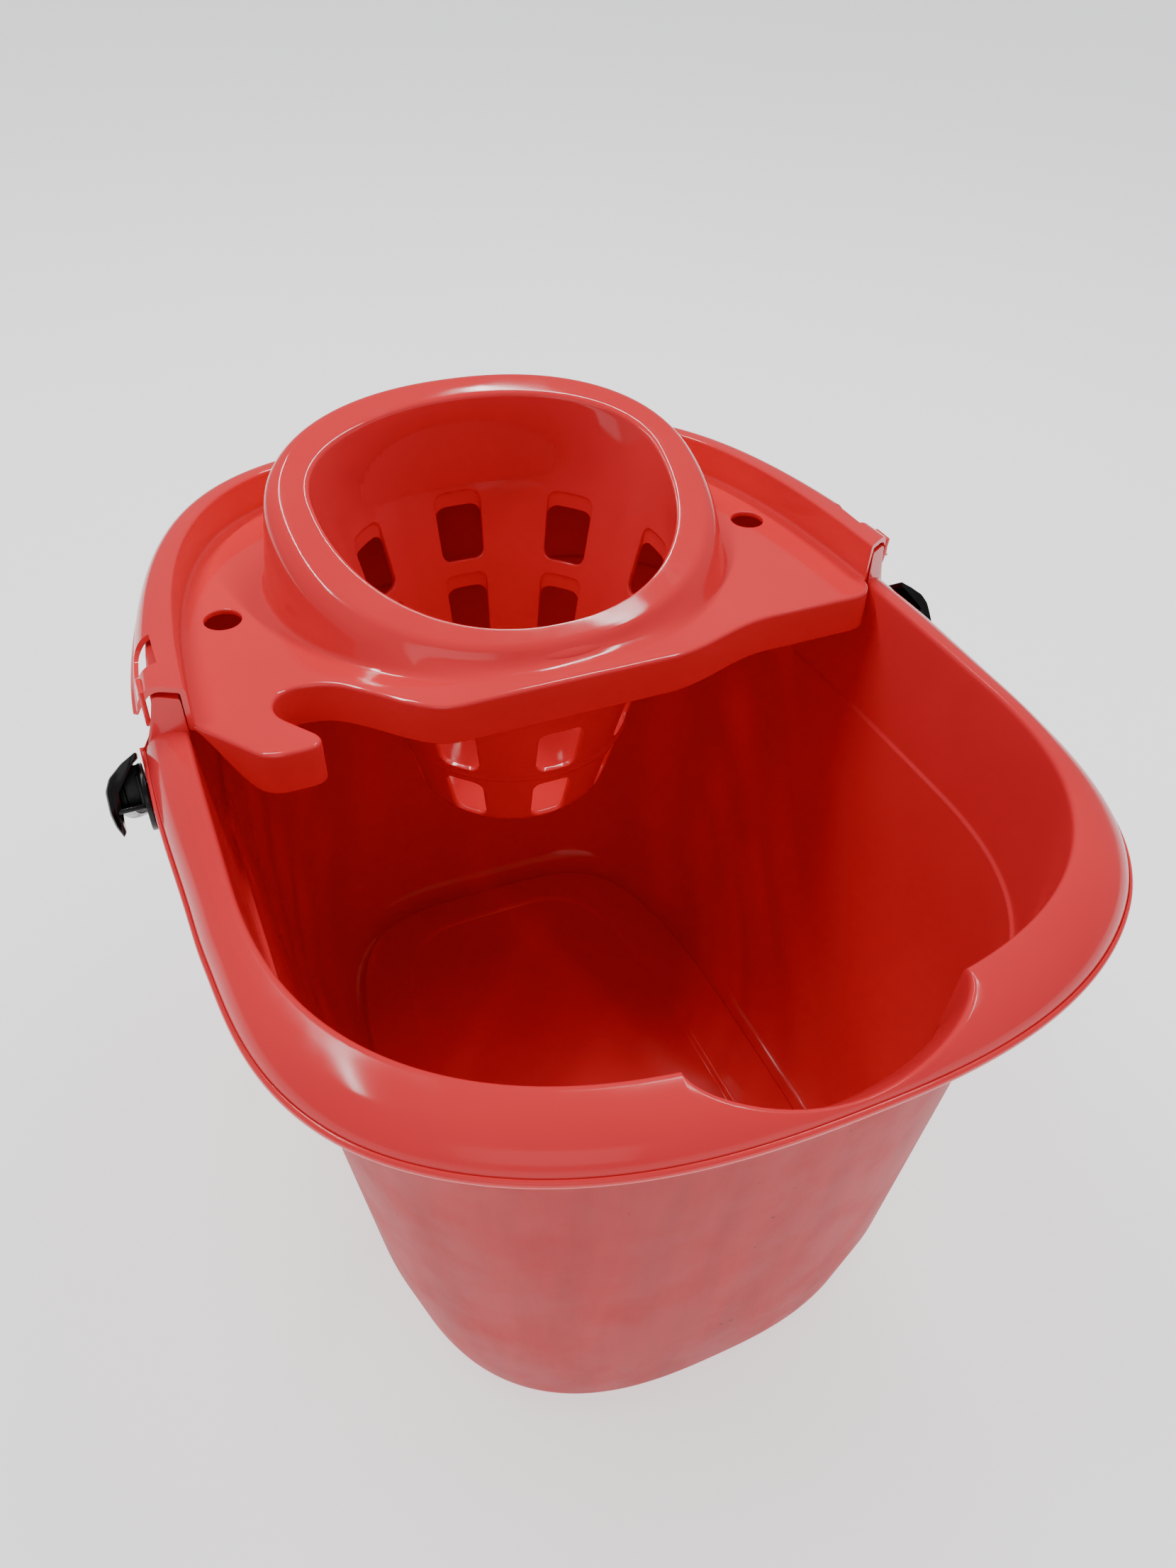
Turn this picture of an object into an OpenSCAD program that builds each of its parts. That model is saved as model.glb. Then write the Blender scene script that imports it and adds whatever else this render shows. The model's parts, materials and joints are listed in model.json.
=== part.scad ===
// Mop bucket with a lift-out wringer tray and a carrying bail.
// +Z is up, -Y is the pouring front and +Y the wringer end. The origin lies on the
// resting plane, under the middle of the whole object's box.

/* [Bucket] */
// Half width of the opening, inside the rim
mouth_a = 133.2; // [128:0.1:140]
// Front of the opening, as a distance ahead of the outline centre
mouth_front = 112.8; // [108:0.1:118]
// Rear of the opening, as a distance behind the outline centre
mouth_rear = 218.7; // [214:0.1:222]
// Half width of the inside at the floor plane
foot_a = 103.2; // [96:0.1:110]
// Front of the inside at the floor plane
foot_front = 101.5; // [96:0.5:106]
// Rear of the inside at the floor plane
foot_rear = 184; // [178:0.5:188]
// Height of the lip's inner edge
lip_z = 231; // [225:0.5:240]
// Height of the raised rear rim that carries the wringer
rear_z = 243.4; // [242:0.1:244]
// Height of the stacking ledge in the wall
ledge_z = 182; // [150:1:195]
// Wall thickness
wall_t = 2.4; // [2:0.1:3]

/* [Lip] */
// Drop from the lip's inner edge to its lower outer edge
lip_drop = 13; // [9:0.5:16]
// Lip width at its narrowest, along the sides
lip_side = 13.6; // [12:0.1:15]
// Lip width at the front
lip_front = 20.2; // [19:0.1:23]
// Half width of the pouring scoop
scoop_half = 43.5; // [36:0.5:48]
// Depth of the pouring scoop
scoop_depth = 18.5; // [14:0.5:18.5]

/* [Wringer] */
// Height of the tray's top face
tray_z = 233; // [232:0.5:234]
// Thickness of the tray plate
tray_t = 2.2; // [1.8:0.1:2.6]
// Depth of the apron along the tray's front edge, plate included
apron_h = 16; // [12:1:22]
// Diameter of the mop handle notch
notch_d = 19.6; // [18:0.2:20]
// Diameter of the two round holes in the tray
tray_hole_d = 13.4; // [8:0.2:16]
// Half width of the basket's mouth
basket_mouth_a = 70.5; // [68:0.5:72]
// Outer radius of the basket at the tray
basket_top_r = 66; // [64:0.5:68]
// Outer radius of the basket at its foot
basket_foot_r = 42.5; // [38:0.5:46]
// Height of the basket's underside
basket_z = 135; // [128:1:145]
// Drain holes in each row of the basket
hole_count = 8; // [6:1:10]

/* [Bail] */
// Half width of the bail at its pivots, to the middle of the strap
bail_a = 158.5; // [158:0.1:160]
// Length of the bail from its pivots to the middle of the grip
bail_len = 180; // [180:0.5:184]
// Angle below the horizontal at which the hanging bail rests
bail_rest = 38; // [30:0.5:38]
// Pivot stud diameter
stud_d = 9.9; // [9.88:0.01:9.98]

/* [Hidden] */

mid_y = -48;            // outline centre of the bucket
foot_n = [2.67, 3.7];   // roundness of the foot outline, front and rear
mouth_n = [2.56, 3.5];  // roundness of the mouth outline, front and rear
ledge_in = 1.2;         // how far the wall steps in below the ledge
gap = 0.5;              // clearance between the wringer and the bucket's rim
seat_y = 19.5;          // where the raised rear rim and the wringer's channel begin
rear_w = 6.5;           // width of the raised rear rim at the back
end_more = 2.5;         // how much wider it is at its front ends
rear_drop = 12;         // height of the raised rear rim's outer skirt
skirt_t = 2.2;          // thickness of the lip's outer skirt
channel_t = 1.8;        // thickness of the wringer's channel
tray_in = gap + channel_t; // inset of the tray's wall from the bucket's mouth
channel_z = 247.6;      // top of the wringer's channel
channel_more = 5;       // how much wider the channel is at its front ends
pivot_y = 18.6;         // bail axis
pivot_z = 209;
bracket_x = 148.5;      // outer face of the bail brackets
basket_y = 73;          // basket axis
flare_z = 172;          // where the wall starts to flare out to the scoop

function lerp(a, b, k) = a + (b - a) * k;
function clamp01(v) = max(0, min(1, v));

// Point of a rounded outline e = [half width, front, rear, [front n, rear n]] at angle f
function egg_r(f, e) =
    let (b = sin(f) < 0 ? e[1] : e[2], n = sin(f) < 0 ? e[3][0] : e[3][1])
    pow(pow(abs(cos(f)) / e[0], n) + pow(abs(sin(f)) / b, n), -1 / n);
function egg(f, e) = [0, mid_y] + egg_r(f, e) * [cos(f), sin(f)];
function outward(f, e) =
    let (t = egg(f + 0.4, e) - egg(f - 0.4, e))
    [t[1], -t[0]] / norm(t);
// Offsets lean towards the rear beside the wringer's seat, so that its steps run slantwise across the rim
function slant(f) = 0.53 * (exp(-pow((f - seat_f) / 12, 2)) - exp(-pow((180 - f - seat_f) / 12, 2)));
function off(f, e, d) =
    let (n = outward(f, e))
    egg(f, e) + d * (n + slant(f) * [-n[1], n[0]]);

mouth = [mouth_a, mouth_front, mouth_rear, mouth_n];
foot = [foot_a, foot_front, foot_rear, foot_n];
function wall_outline(z) =
    let (k = z / lip_z)
    [for (i = [0:2]) lerp(foot[i], mouth[i], k) - (z < ledge_z ? ledge_in : 0)];
function wall_e(z) =
    let (k = clamp01(z / lip_z), o = wall_outline(min(z, lip_z)))
    [o[0], o[1], o[2], [lerp(foot_n[0], mouth_n[0], k), lerp(foot_n[1], mouth_n[1], k)]];

// Angles round the bucket: close pairs stand at the scoop's corners and at the rim's steps
seat_f = atan((seat_y - mid_y) / (mouth_a - 1));
scoop_f = -atan((mouth_front - 3.5) / scoop_half);
right = concat([for (i = [0:4]) lerp(-90, scoop_f, i / 5)],
               [for (i = [0:19]) lerp(scoop_f, seat_f, i / 20)],
               [seat_f],
               [for (i = [0:31]) lerp(seat_f + 0.15, 90, i / 32)]);
angles = concat(right, [90], [for (i = [len(right) - 1:-1:1]) 180 - right[i]]);

function is_rear(f) = sin(f) > sin(seat_f + 0.1) ? 1 : 0;
function smooth(v) = let (u = clamp01(v)) u * u * (3 - 2 * u);
// The rim and the channel widen from the rear towards their front ends
function near_seat(f) = exp(-pow((min(f, 180 - f) - seat_f) / 22, 2));
function lip_w(f) =
    let (y = egg(f, mouth)[1])
    is_rear(f) == 1 ? rear_w + end_more * near_seat(f)
                    : lip_side + 2.1 * smooth((y + 60) / 60) + (lip_front - lip_side) * smooth((-70 - y) / 65);
function scoop(f) =
    let (p = egg(f, mouth), u = p[0] / scoop_half)
    p[1] < mid_y && abs(u) < 1 ? scoop_depth * pow(1 - u * u, 0.6) : 0;
function lip_top(f, s) =
    is_rear(f) == 1 ? rear_z - rear_drop + rear_drop * pow(1 - pow(s, 6), 1 / 6)
                    : lip_z - lip_drop + lip_drop * sqrt(1 - s * s);
function edge_z(f) = lip_top(f, scoop(f) / lip_w(f));
function flare(f, z) =
    scoop(f) * pow(clamp01((z - flare_z) / (edge_z(f) - flare_z)), 1.6);

// Rings of points, bottom to top to floor, each one a closed loop round the bucket
function ring_wall(z, d) =
    [for (f = angles) let (p = off(f, wall_e(z), d + flare(f, z))) [p[0], p[1], z]];
function ring_lip(j, m) =
    [for (f = angles)
        let (s = lerp(scoop(f) / lip_w(f), 1, j / m), p = off(f, mouth, s * lip_w(f)))
        [p[0], p[1], lip_top(f, s)]];
function under_z(f, s) = lip_top(f, min(s, 0.97)) - 2.6;
function root_z(f) = under_z(f, (scoop(f) + wall_t + 1) / lip_w(f));
function ring_under(k) =
    [for (f = angles)
        let (inner = flare(f, root_z(f)) + wall_t, outer = lip_w(f) - skirt_t,
             d = lerp(max(inner, min(inner, outer)), max(inner + 0.3, outer), k),
             p = off(f, mouth, d))
        [p[0], p[1], k == 1 ? lip_top(f, 1) : under_z(f, max(d, scoop(f) + wall_t + 1) / lip_w(f))]];
function ring_seat(z_front, z_rear, d) =
    [for (f = angles)
        let (z = is_rear(f) == 1 ? z_rear : z_front, p = off(f, wall_e(z), d + flare(f, z)))
        [p[0], p[1], z]];

// Faces of a stack of equal rings. Caps close it with a fan to a first and a last point.
function side_faces(rings, n, first) =
    [for (i = [0:rings - 2], j = [0:n - 1])
        let (a = first + i * n + j, b = first + i * n + (j + 1) % n)
        each [[a, a + n, b], [b, a + n, b + n]]];
module capped_stack(rings, bottom, top) {
    n = len(rings[0]);
    last = len(rings) * n + 1;
    points = concat([bottom], [for (r = rings) each r], [top]);
    faces = concat([for (j = [0:n - 1]) [0, 1 + j, 1 + (j + 1) % n]],
                   side_faces(len(rings), n, 1),
                   [for (j = [0:n - 1]) [last, last - n + (j + 1) % n, last - n + j]]);
    polyhedron(points, faces, convexity = 8);
}
module closed_stack(rings) {
    n = len(rings[0]);
    count = len(rings) * n;
    polyhedron([for (r = rings) each r],
               [for (face = side_faces(len(rings) + 1, n, 0)) [for (v = face) v % count]],
               convexity = 8);
}
// A section swept along stations: every station is a list of points, and both ends are flat
module swept(stations) {
    n = len(stations[0]);
    count = len(stations);
    ends = [[for (j = [0:n - 1]) j], [for (j = [n - 1:-1:0]) (count - 1) * n + j]];
    polyhedron([for (i = [count - 1:-1:0]) each stations[i]],
               concat(side_faces(count, n, 0), [ends[0]], [ends[1]]), convexity = 8);
}

module bucket_shell() {
    floor_z = 8.5;
    moat_z = 6;
    color([0.78, 0.09, 0.08])
    capped_stack([
        ring_wall(2.5, -17), ring_wall(2.5, -13), ring_wall(0, -11), ring_wall(0, 0),
        ring_wall(0.8, 1.6), ring_wall(3, wall_t), ring_wall(64, wall_t),
        ring_wall(122, wall_t), ring_wall(ledge_z - 1, wall_t), ring_wall(ledge_z, wall_t),
        ring_wall(202, wall_t), ring_seat(214, 226, wall_t),
        ring_under(0), ring_under(0.5), ring_under(1),
        ring_lip(6, 6), ring_lip(5, 6), ring_lip(4, 6), ring_lip(3, 6), ring_lip(2, 6),
        ring_lip(1, 6), ring_lip(0, 6),
        ring_seat(216, 230.6, 0), ring_wall(202, 0), ring_wall(ledge_z, 0),
        ring_wall(ledge_z - 1, 0), ring_wall(122, 0), ring_wall(64, 0), ring_wall(24, 0),
        ring_wall(12, -3.5), ring_wall(moat_z + 1, -10), ring_wall(moat_z, -15),
        ring_wall(moat_z, -22), ring_wall(floor_z, -25)],
        [0, mid_y, 2.5], [0, mid_y, floor_z]);
}

// Ear under the lip that carries one pivot stud: side is -1 for left and 1 for right
module bracket(side) {
    plate_t = 3.3;
    rib_t = 2.2;
    ear_r = 13;
    ear_top = 219.5;
    wall_x = 131.5;
    color([0.78, 0.09, 0.08])
    difference() {
        union() {
            translate([side > 0 ? bracket_x - plate_t : -bracket_x, pivot_y, pivot_z]) {
                intersection() {
                    rotate([0, 90, 0]) cylinder(r = ear_r, h = plate_t);
                    translate([-1, -ear_r, -ear_r]) cube([plate_t + 2, 2 * ear_r, ear_r + 1]);
                }
                translate([0, -ear_r, 0]) cube([plate_t, 2 * ear_r, ear_top - pivot_z]);
            }
            for (y = [-1, 1])
                translate([side > 0 ? wall_x : -bracket_x + 1, pivot_y + y * (ear_r - 2) - rib_t / 2, 201])
                    cube([bracket_x - 1 - wall_x, rib_t, 16.5]);
        }
        translate([side * bracket_x, pivot_y, pivot_z]) rotate([0, 90, 0])
            cylinder(r = stud_d / 2 + 0.05, h = 20, center = true);
    }
}
module bracket_left() { bracket(-1); }
module bracket_right() { bracket(1); }

// Outline of the tray's front edge, left to right: finger, notch, bulge round the collar, right end
function arc(c, r, a0, a1, n) = [for (i = [0:n]) c + r * [cos(lerp(a0, a1, i / n)), sin(lerp(a0, a1, i / n))]];
function ease(p, q, n) =
    [for (i = [0:n]) [lerp(p[0], q[0], i / n), lerp(p[1], q[1], (1 - cos(180 * i / n)) / 2)]];
notch_c = [-95, 18.6];
front_edge = concat([[-113.5, -3.5]], arc([-108, 0.4], 6, -110, -90, 2), arc([-97.5, -1.4], 4.2, -90, 42, 6),
                    arc(notch_c, notch_d / 2, 218, 76, 12), ease([-91, 27.8], [-47, -1.2], 10),
                    ease([33, -1.4], [82, 9.4], 10), arc([120, 19.6], 10.2, -86, -12, 5));
tray_angles = [for (i = [0:48]) lerp(seat_f + 0.3, 179.7 - seat_f, i / 48)];
tray_edge = [for (f = tray_angles) off(f, mouth, -tray_in)];
// Points moved to the left of their direction of travel, into the tray
function inset(points, d) =
    [for (i = [0:len(points) - 1])
        let (t = points[min(i + 1, len(points) - 1)] - points[max(i - 1, 0)])
        points[i] + d * [-t[1], t[0]] / norm(t)];

// The collar and the basket share these outlines: [half width, front y, rear y, widest y, n]
collar_base = [92, 4.6, 150.5, 86, 2.1];
collar_lip = [87, 9.8, 146.3, 88, 2.2];
collar_crown = [82.5, 13.2, 142, 88.5, 2.2];
collar_edge = [basket_mouth_a, 20.8, 130.8, 90.7, 2.15];
mouth_slope = 0.35;     // rise of the collar's mouth towards the rear
mouth_z = 266.4;        // height of the mouth's plane at the collar's widest line
basket_in = 2.2;        // thickness of the collar and the basket
function circle_o(r) = [r, basket_y - r, basket_y + r, basket_y, 2];
function collar_pt(t, o, d) =
    let (e = 2 / o[4], c = cos(t), s = sin(t), b = s < 0 ? o[3] - o[1] : o[2] - o[3])
    [(o[0] + d) * sign(c) * pow(abs(c), e), o[3] + (b + d) * sign(s) * pow(abs(s), e)];
function mouth_plane(y) = mouth_z + mouth_slope * (y - collar_edge[3]);
function collar_ring(o, d, drop) =
    [for (i = [0:63]) let (p = collar_pt(i * 5.625, o, d)) [p[0], p[1], max(tray_z + 1.5, mouth_plane(p[1]) - drop)]];
function flat_ring(o, d, z) = [for (i = [0:63]) let (p = collar_pt(i * 5.625, o, d)) [p[0], p[1], z]];
function mixed_ring(p, q, k) = [for (i = [0:63]) p[i] + (q[i] - p[i]) * k];

module wringer_tray() {
    color([0.86, 0.12, 0.09]) {
        difference() {
            translate([0, 0, tray_z - tray_t])
                linear_extrude(tray_t) polygon(concat(tray_edge, front_edge));
            translate([0, 0, tray_z - tray_t - 1]) {
                linear_extrude(tray_t + 2)
                    polygon([for (i = [0:63]) collar_pt(i * 5.625, collar_base, -2)]);
                for (x = [-110, 110])
                    translate([x, 78.4, 0]) cylinder(d = tray_hole_d, h = tray_t + 2);
            }
        }
        rim = concat([tray_edge[48] + [0.6, -1.2]], front_edge);
        translate([0, 0, tray_z - apron_h])
            linear_extrude(apron_h - tray_t)
            difference() {
                polygon(concat(inset(rim, 2.2), [for (i = [len(rim) - 1:-1:0]) rim[i]]));
                for (x = [-200, 140]) translate([x, 19]) square([60, 20]);
            }
    }
}

// Inverted channel that hooks over the raised rear rim, with a moulding slot and a snap tongue at each end
module wringer_channel() {
    base_z = tray_z - tray_t;
    // Each point is [distance out, share of the extra width at the channel's ends, height]
    section = [[0, 0, base_z], [0, 0, channel_z - 0.8], [0.8, 0, channel_z], [6.4, 0.58, channel_z - 0.2],
               [9.6, 0.5, 245.2], [11.6, 0.7, 241], [12.5, 1, 235.2], [10.7, 1, 235.2], [9.8, 0.7, 240.4],
               [8, 0.5, 243.6], [6.2, 0.5, channel_z - 2.2], [channel_t, 0, channel_z - 2],
               [channel_t, 0, base_z]];
    tongue = [[0, 242], [9, 242], [9, 238], [4, 229], [0, 233]];
    color([0.86, 0.12, 0.09]) {
        difference() {
            swept([for (i = [48:-1:0]) let (f = tray_angles[i])
                [for (s = section)
                    let (p = off(f, mouth, s[0] + s[1] * channel_more * near_seat(f) - tray_in)) [p[0], p[1], s[2]]]]);
            for (side = [-1, 1])
                translate([side * 143, 46, 244]) cube([10, 18, 10], center = true);
        }
        for (side = [-1, 1])
            translate([side * 144 - 0.8, 28, 0])
                rotate([90, 0, 90]) linear_extrude(1.6) polygon(tongue);
    }
}

// Raised collar with a sloping, rolled mouth. It stands on the tray and on the basket.
module wringer_collar() {
    foot_in = circle_o(basket_top_r - basket_in);
    foot_out = circle_o(basket_top_r);
    inner_top = collar_ring(collar_edge, 0, 0);
    inner_foot = flat_ring(foot_in, 0, tray_z);
    back_top = collar_ring(collar_edge, basket_in, 4);
    back_foot = flat_ring(foot_out, 0, tray_z);
    color([0.86, 0.12, 0.09])
    closed_stack([
        flat_ring(collar_base, -2, tray_z), flat_ring(collar_base, 0, tray_z),
        flat_ring(collar_base, -0.8, tray_z + 1.2),
        collar_ring(collar_lip, 0, 5), collar_ring(collar_lip, -1.5, 3),
        collar_ring(collar_crown, 0, 0.2), inner_top,
        mixed_ring(inner_top, inner_foot, 0.5), inner_foot, back_foot,
        mixed_ring(back_foot, back_top, 0.5), back_top,
        collar_ring(collar_lip, -2.4, 6.5)]);
}

// Mop basket: a tapered cup with rows of rounded drain holes, hung under the collar
basket_corner = 8;      // height of the rounded corner at its foot
floor_t = 2.4;          // thickness of its floor
floor_r = basket_foot_r - basket_corner - 1;
module wringer_basket_floor() {
    color([0.86, 0.12, 0.09])
    translate([0, basket_y, 0]) rotate_extrude($fn = 96)
        polygon([[0, basket_z], [floor_r, basket_z], [floor_r, basket_z + floor_t], [0, basket_z + floor_t]]);
}
module wringer_basket() {
    lean = (basket_top_r - basket_foot_r) / (tray_z - basket_z - basket_corner);
    rows = [[218, 20, 23], [183, 18, 24], [151.5, 15.5, 23]];
    rib_z = 168;
    function wall_r(z) = basket_foot_r + lean * (z - basket_z - basket_corner);
    color([0.86, 0.12, 0.09])
    difference() {
        translate([0, basket_y, 0])
            rotate_extrude($fn = 96)
            difference() {
                polygon([[floor_r, basket_z], [basket_foot_r - basket_corner, basket_z],
                         [basket_foot_r - 2.3, basket_z + 2.3], [basket_foot_r, basket_z + basket_corner],
                         [wall_r(rib_z), rib_z], [wall_r(rib_z) + 1, rib_z + 0.6],
                         [wall_r(rib_z) + 1.1, rib_z + 2], [wall_r(rib_z + 3), rib_z + 3],
                         [basket_top_r, tray_z], [floor_r, tray_z]]);
                polygon([[floor_r, basket_z + floor_t], [basket_foot_r - 2.4, basket_z + basket_corner],
                         [wall_r(tray_z) - basket_in, tray_z], [wall_r(tray_z) - basket_in, tray_z + 1],
                         [floor_r - 1, tray_z + 1], [floor_r - 1, basket_z + floor_t]]);
            }
        for (row = rows, i = [0:hole_count - 1])
            translate([0, basket_y, row[0]]) rotate([0, 0, i * 360 / hole_count])
                translate([0, wall_r(row[0]) + 4, 0]) rotate([90, 0, 0])
                linear_extrude(10) rounded_square(row[1], row[2], 4.5);
    }
}
module rounded_square(w, h, r) {
    square([w - 2 * r, h], center = true);
    square([w, h - 2 * r], center = true);
    for (x = [-1, 1], y = [-1, 1])
        translate([x * (w / 2 - r), y * (h / 2 - r)]) circle(r, $fn = 32);
}

// The bail lies in a plane through its pivots. Along it s runs from the pivots to the grip, h across it.
function bail_pt(x, s, h) =
    [x, pivot_y + s * cos(bail_rest) + h * sin(bail_rest), pivot_z - s * sin(bail_rest) + h * cos(bail_rest)];
bail_n = 2.9;
function bail_line(a) = [bail_a * pow(abs(cos(a)), 2 / bail_n) * sign(cos(a)), bail_len * pow(abs(sin(a)), 2 / bail_n)];
// One ring round the bail at angle a, w thick in its plane and t high across it
function bail_ring(a, w, t) =
    let (p = bail_line(a), q = bail_line(a + 0.5) - bail_line(a - 0.5), n = [q[1], -q[0]] / norm(q))
    [for (i = [0:15])
        let (c = cos(i * 22.5), s = sin(i * 22.5), u = sign(c) * pow(abs(c), 0.6) * w / 2,
             h = sign(s) * pow(abs(s), 0.6) * t / 2, b = p + n * u)
        bail_pt(b[0], b[1], h)];
grip_a = 66;            // where the arms end and the grip begins
module bail_arm(side) {
    start = 0.5;
    color([0.05, 0.05, 0.055])
    swept([for (i = [0:16])
        let (k = i / 16, a = side > 0 ? lerp(start, grip_a, k) : lerp(180 - grip_a, 180 - start, k),
             j = side > 0 ? k : 1 - k)
        bail_ring(a, lerp(5, 8, pow(j, 3)), lerp(17, 15, j))]);
}
module bail_arm_left() { bail_arm(-1); }
module bail_arm_right() { bail_arm(1); }
module bail_grip() {
    color([0.05, 0.05, 0.055])
    swept([for (i = [0:16])
        let (k = i / 16, bulge = pow(sin(180 * k), 0.5))
        bail_ring(lerp(grip_a, 180 - grip_a, k), lerp(8, 14, bulge), lerp(15, 16, bulge))]);
}

// Round pivot end of the bail: strap boss, neck, flange, and a stud with a snap head through the bracket
module bail_pivot(side) {
    color([0.05, 0.05, 0.055])
    translate([0, pivot_y, pivot_z]) rotate([0, side * 90, 0])
        rotate_extrude($fn = 64)
        polygon([[0, 141.4], [4.4, 141.4], [6, 143.4], [6, 144.8], [stud_d / 2, 144.8],
                 [stud_d / 2, bracket_x + 0.4], [11.5, bracket_x + 0.4], [11.5, bracket_x + 2.3],
                 [6.5, bracket_x + 2.3], [6.5, bail_a - 2.5], [9.4, bail_a - 2.5],
                 [9.4, bail_a + 1.6], [8.4, bail_a + 2.6], [0, bail_a + 2.6]]);
}
module bail_pivot_left() { bail_pivot(-1); }
module bail_pivot_right() { bail_pivot(1); }

bucket_shell();
bracket_left();
bracket_right();
wringer_tray();
wringer_channel();
wringer_collar();
wringer_basket();
wringer_basket_floor();
bail_arm_left();
bail_arm_right();
bail_grip();
bail_pivot_left();
bail_pivot_right();
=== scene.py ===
"""Looks of the mop bucket with wringer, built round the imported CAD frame.

Meshes are worked out in millimetres, as the CAD model is, and stored in metres. +Z is up, -Y is the pouring
front and +Y the wringer end.
"""

import json
import math

import bmesh
import bpy
import numpy as np
from mathutils import Matrix, Vector


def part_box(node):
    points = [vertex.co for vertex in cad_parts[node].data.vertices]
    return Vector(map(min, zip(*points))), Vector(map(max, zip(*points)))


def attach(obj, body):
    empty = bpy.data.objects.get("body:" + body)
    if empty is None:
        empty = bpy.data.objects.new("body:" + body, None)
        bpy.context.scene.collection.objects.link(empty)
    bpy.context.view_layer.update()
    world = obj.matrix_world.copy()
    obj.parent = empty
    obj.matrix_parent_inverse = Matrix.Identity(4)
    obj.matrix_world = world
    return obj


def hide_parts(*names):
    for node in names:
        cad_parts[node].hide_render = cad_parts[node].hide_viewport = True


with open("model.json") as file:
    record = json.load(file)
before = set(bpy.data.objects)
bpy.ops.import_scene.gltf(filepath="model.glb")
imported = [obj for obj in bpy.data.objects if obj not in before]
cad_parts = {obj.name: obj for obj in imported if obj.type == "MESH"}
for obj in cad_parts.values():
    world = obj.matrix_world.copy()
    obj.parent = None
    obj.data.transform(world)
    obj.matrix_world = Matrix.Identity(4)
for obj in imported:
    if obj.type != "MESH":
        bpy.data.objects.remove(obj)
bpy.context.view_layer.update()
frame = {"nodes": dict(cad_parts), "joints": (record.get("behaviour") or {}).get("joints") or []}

MM = 0.001


def cad_box(node):
    """Lowest and highest corner of a CAD node, in millimetres."""
    low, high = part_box(node)
    return np.array(low) / MM, np.array(high) / MM


SHELL = cad_box("bucket_shell")
TRAY = cad_box("wringer_tray")
CHANNEL = cad_box("wringer_channel")
BASKET = cad_box("wringer_basket")
BRACKET = cad_box("bracket_right")
PIVOT = np.array(next(j for j in frame["joints"] if j["name"] == "bail_swing")["pos_m"]) / MM

# Bucket outlines: half width, front, rear, front roundness, rear roundness, about the outline centre
MID_Y = -48.0
MOUTH = (133.2, 112.8, 218.7, 2.56, 3.5)
FOOT = (103.2, 101.5, 184.0, 2.67, 3.7)
FLOOR_PANEL = (61.5, 92.0, 151.0, 3.2, 4.2)
LIP_Z = 231.0
REAR_Z = SHELL[1][2]
LEDGE_Z = 182.0
LEDGE_IN = 1.2
WALL = 2.4
LIP_DROP = 13.0
LIP_SIDE = 13.6
LIP_GROWTH = 2.1
LIP_FRONT = 20.2
SCOOP_HALF = 43.5
SCOOP_DEPTH = 18.5
FLARE_Z = 172.0
SEAT_Y = 19.5
REAR_W = 6.5
STEP_ANGLE = 0.004
SCOOP_CORNER = 3.5
REAR_END = 2.5
REAR_DROP = 12.0
SKIRT = 2.2
BEAD = 1.0

# Wringer
TRAY_Z = TRAY[1][2]
TRAY_T = 2.2
TRAY_IN = 2.3
TRAY_GAP = 0.006
SEAM = 3.0
APRON = TRAY_Z - TRAY[0][2]
NOTCH_R = 9.8
HOLE_AT = (110.0, 78.4)
HOLE_R = 6.7
HOLE_EDGE = 1.2
CHANNEL_Z = CHANNEL[1][2]
CHANNEL_END = 5.0
WINDOW_AT = (46.4, 244.3)
WINDOW_SPAN = (136.6, 153.0)
TONGUE_X = 143.6
TONGUE_Y = 26.2
BASKET_Y = (BASKET[0][1] + BASKET[1][1]) / 2
BASKET_R = (BASKET[1][1] - BASKET[0][1]) / 2
BASKET_Z = BASKET[0][2]
BASKET_FOOT = 42.5
BASKET_CORNER = 8.0
BASKET_T = 2.2
RIB_Z = 168.0
RIB_HALF = 2.4
SECTORS = 8
# Collar outlines: half width, front y, rear y, widest y, roundness
COLLAR_BASE = (92.0, 4.6, 150.5, 86.0, 2.1)
COLLAR_LIP = (87.0, 9.8, 146.3, 88.0, 2.2)
COLLAR_CROWN = (82.5, 13.2, 142.0, 88.5, 2.2)
COLLAR_EDGE = (70.5, 20.8, 130.8, 90.7, 2.15)
MOUTH_SLOPE = 0.35
MOUTH_Z = 266.4

# Bail
BAIL_HALF = 158.5
BAIL_LEN = 180.0
BAIL_REST = math.radians(38)
BAIL_N = 2.9


# ---------------------------------------------------------------- curves and rings

def lerp(a, b, k):
    return a + (b - a) * k


def ease(x):
    x = np.clip(x, 0, 1)
    return x * x * (3 - 2 * x)


def oval(angle, outline):
    """Points of a rounded outline about (0, MID_Y)."""
    half, front, rear, n_front, n_rear = outline
    ahead = np.sin(angle) < 0
    depth = np.where(ahead, front, rear)
    n = np.where(ahead, n_front, n_rear)
    r = ((np.abs(np.cos(angle)) / half) ** n + (np.abs(np.sin(angle)) / depth) ** n) ** (-1 / n)
    return np.stack([r * np.cos(angle), MID_Y + r * np.sin(angle)], -1)


def beside_seat(angle, width):
    """1 at the right end of the rear rim, -1 at its left end, and 0 away from both."""
    right = (np.degrees(angle) - math.degrees(SEAT_ANGLE)) / width
    left = (180 - np.degrees(angle) - math.degrees(SEAT_ANGLE)) / width
    return np.exp(-right ** 2) - np.exp(-left ** 2)


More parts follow.
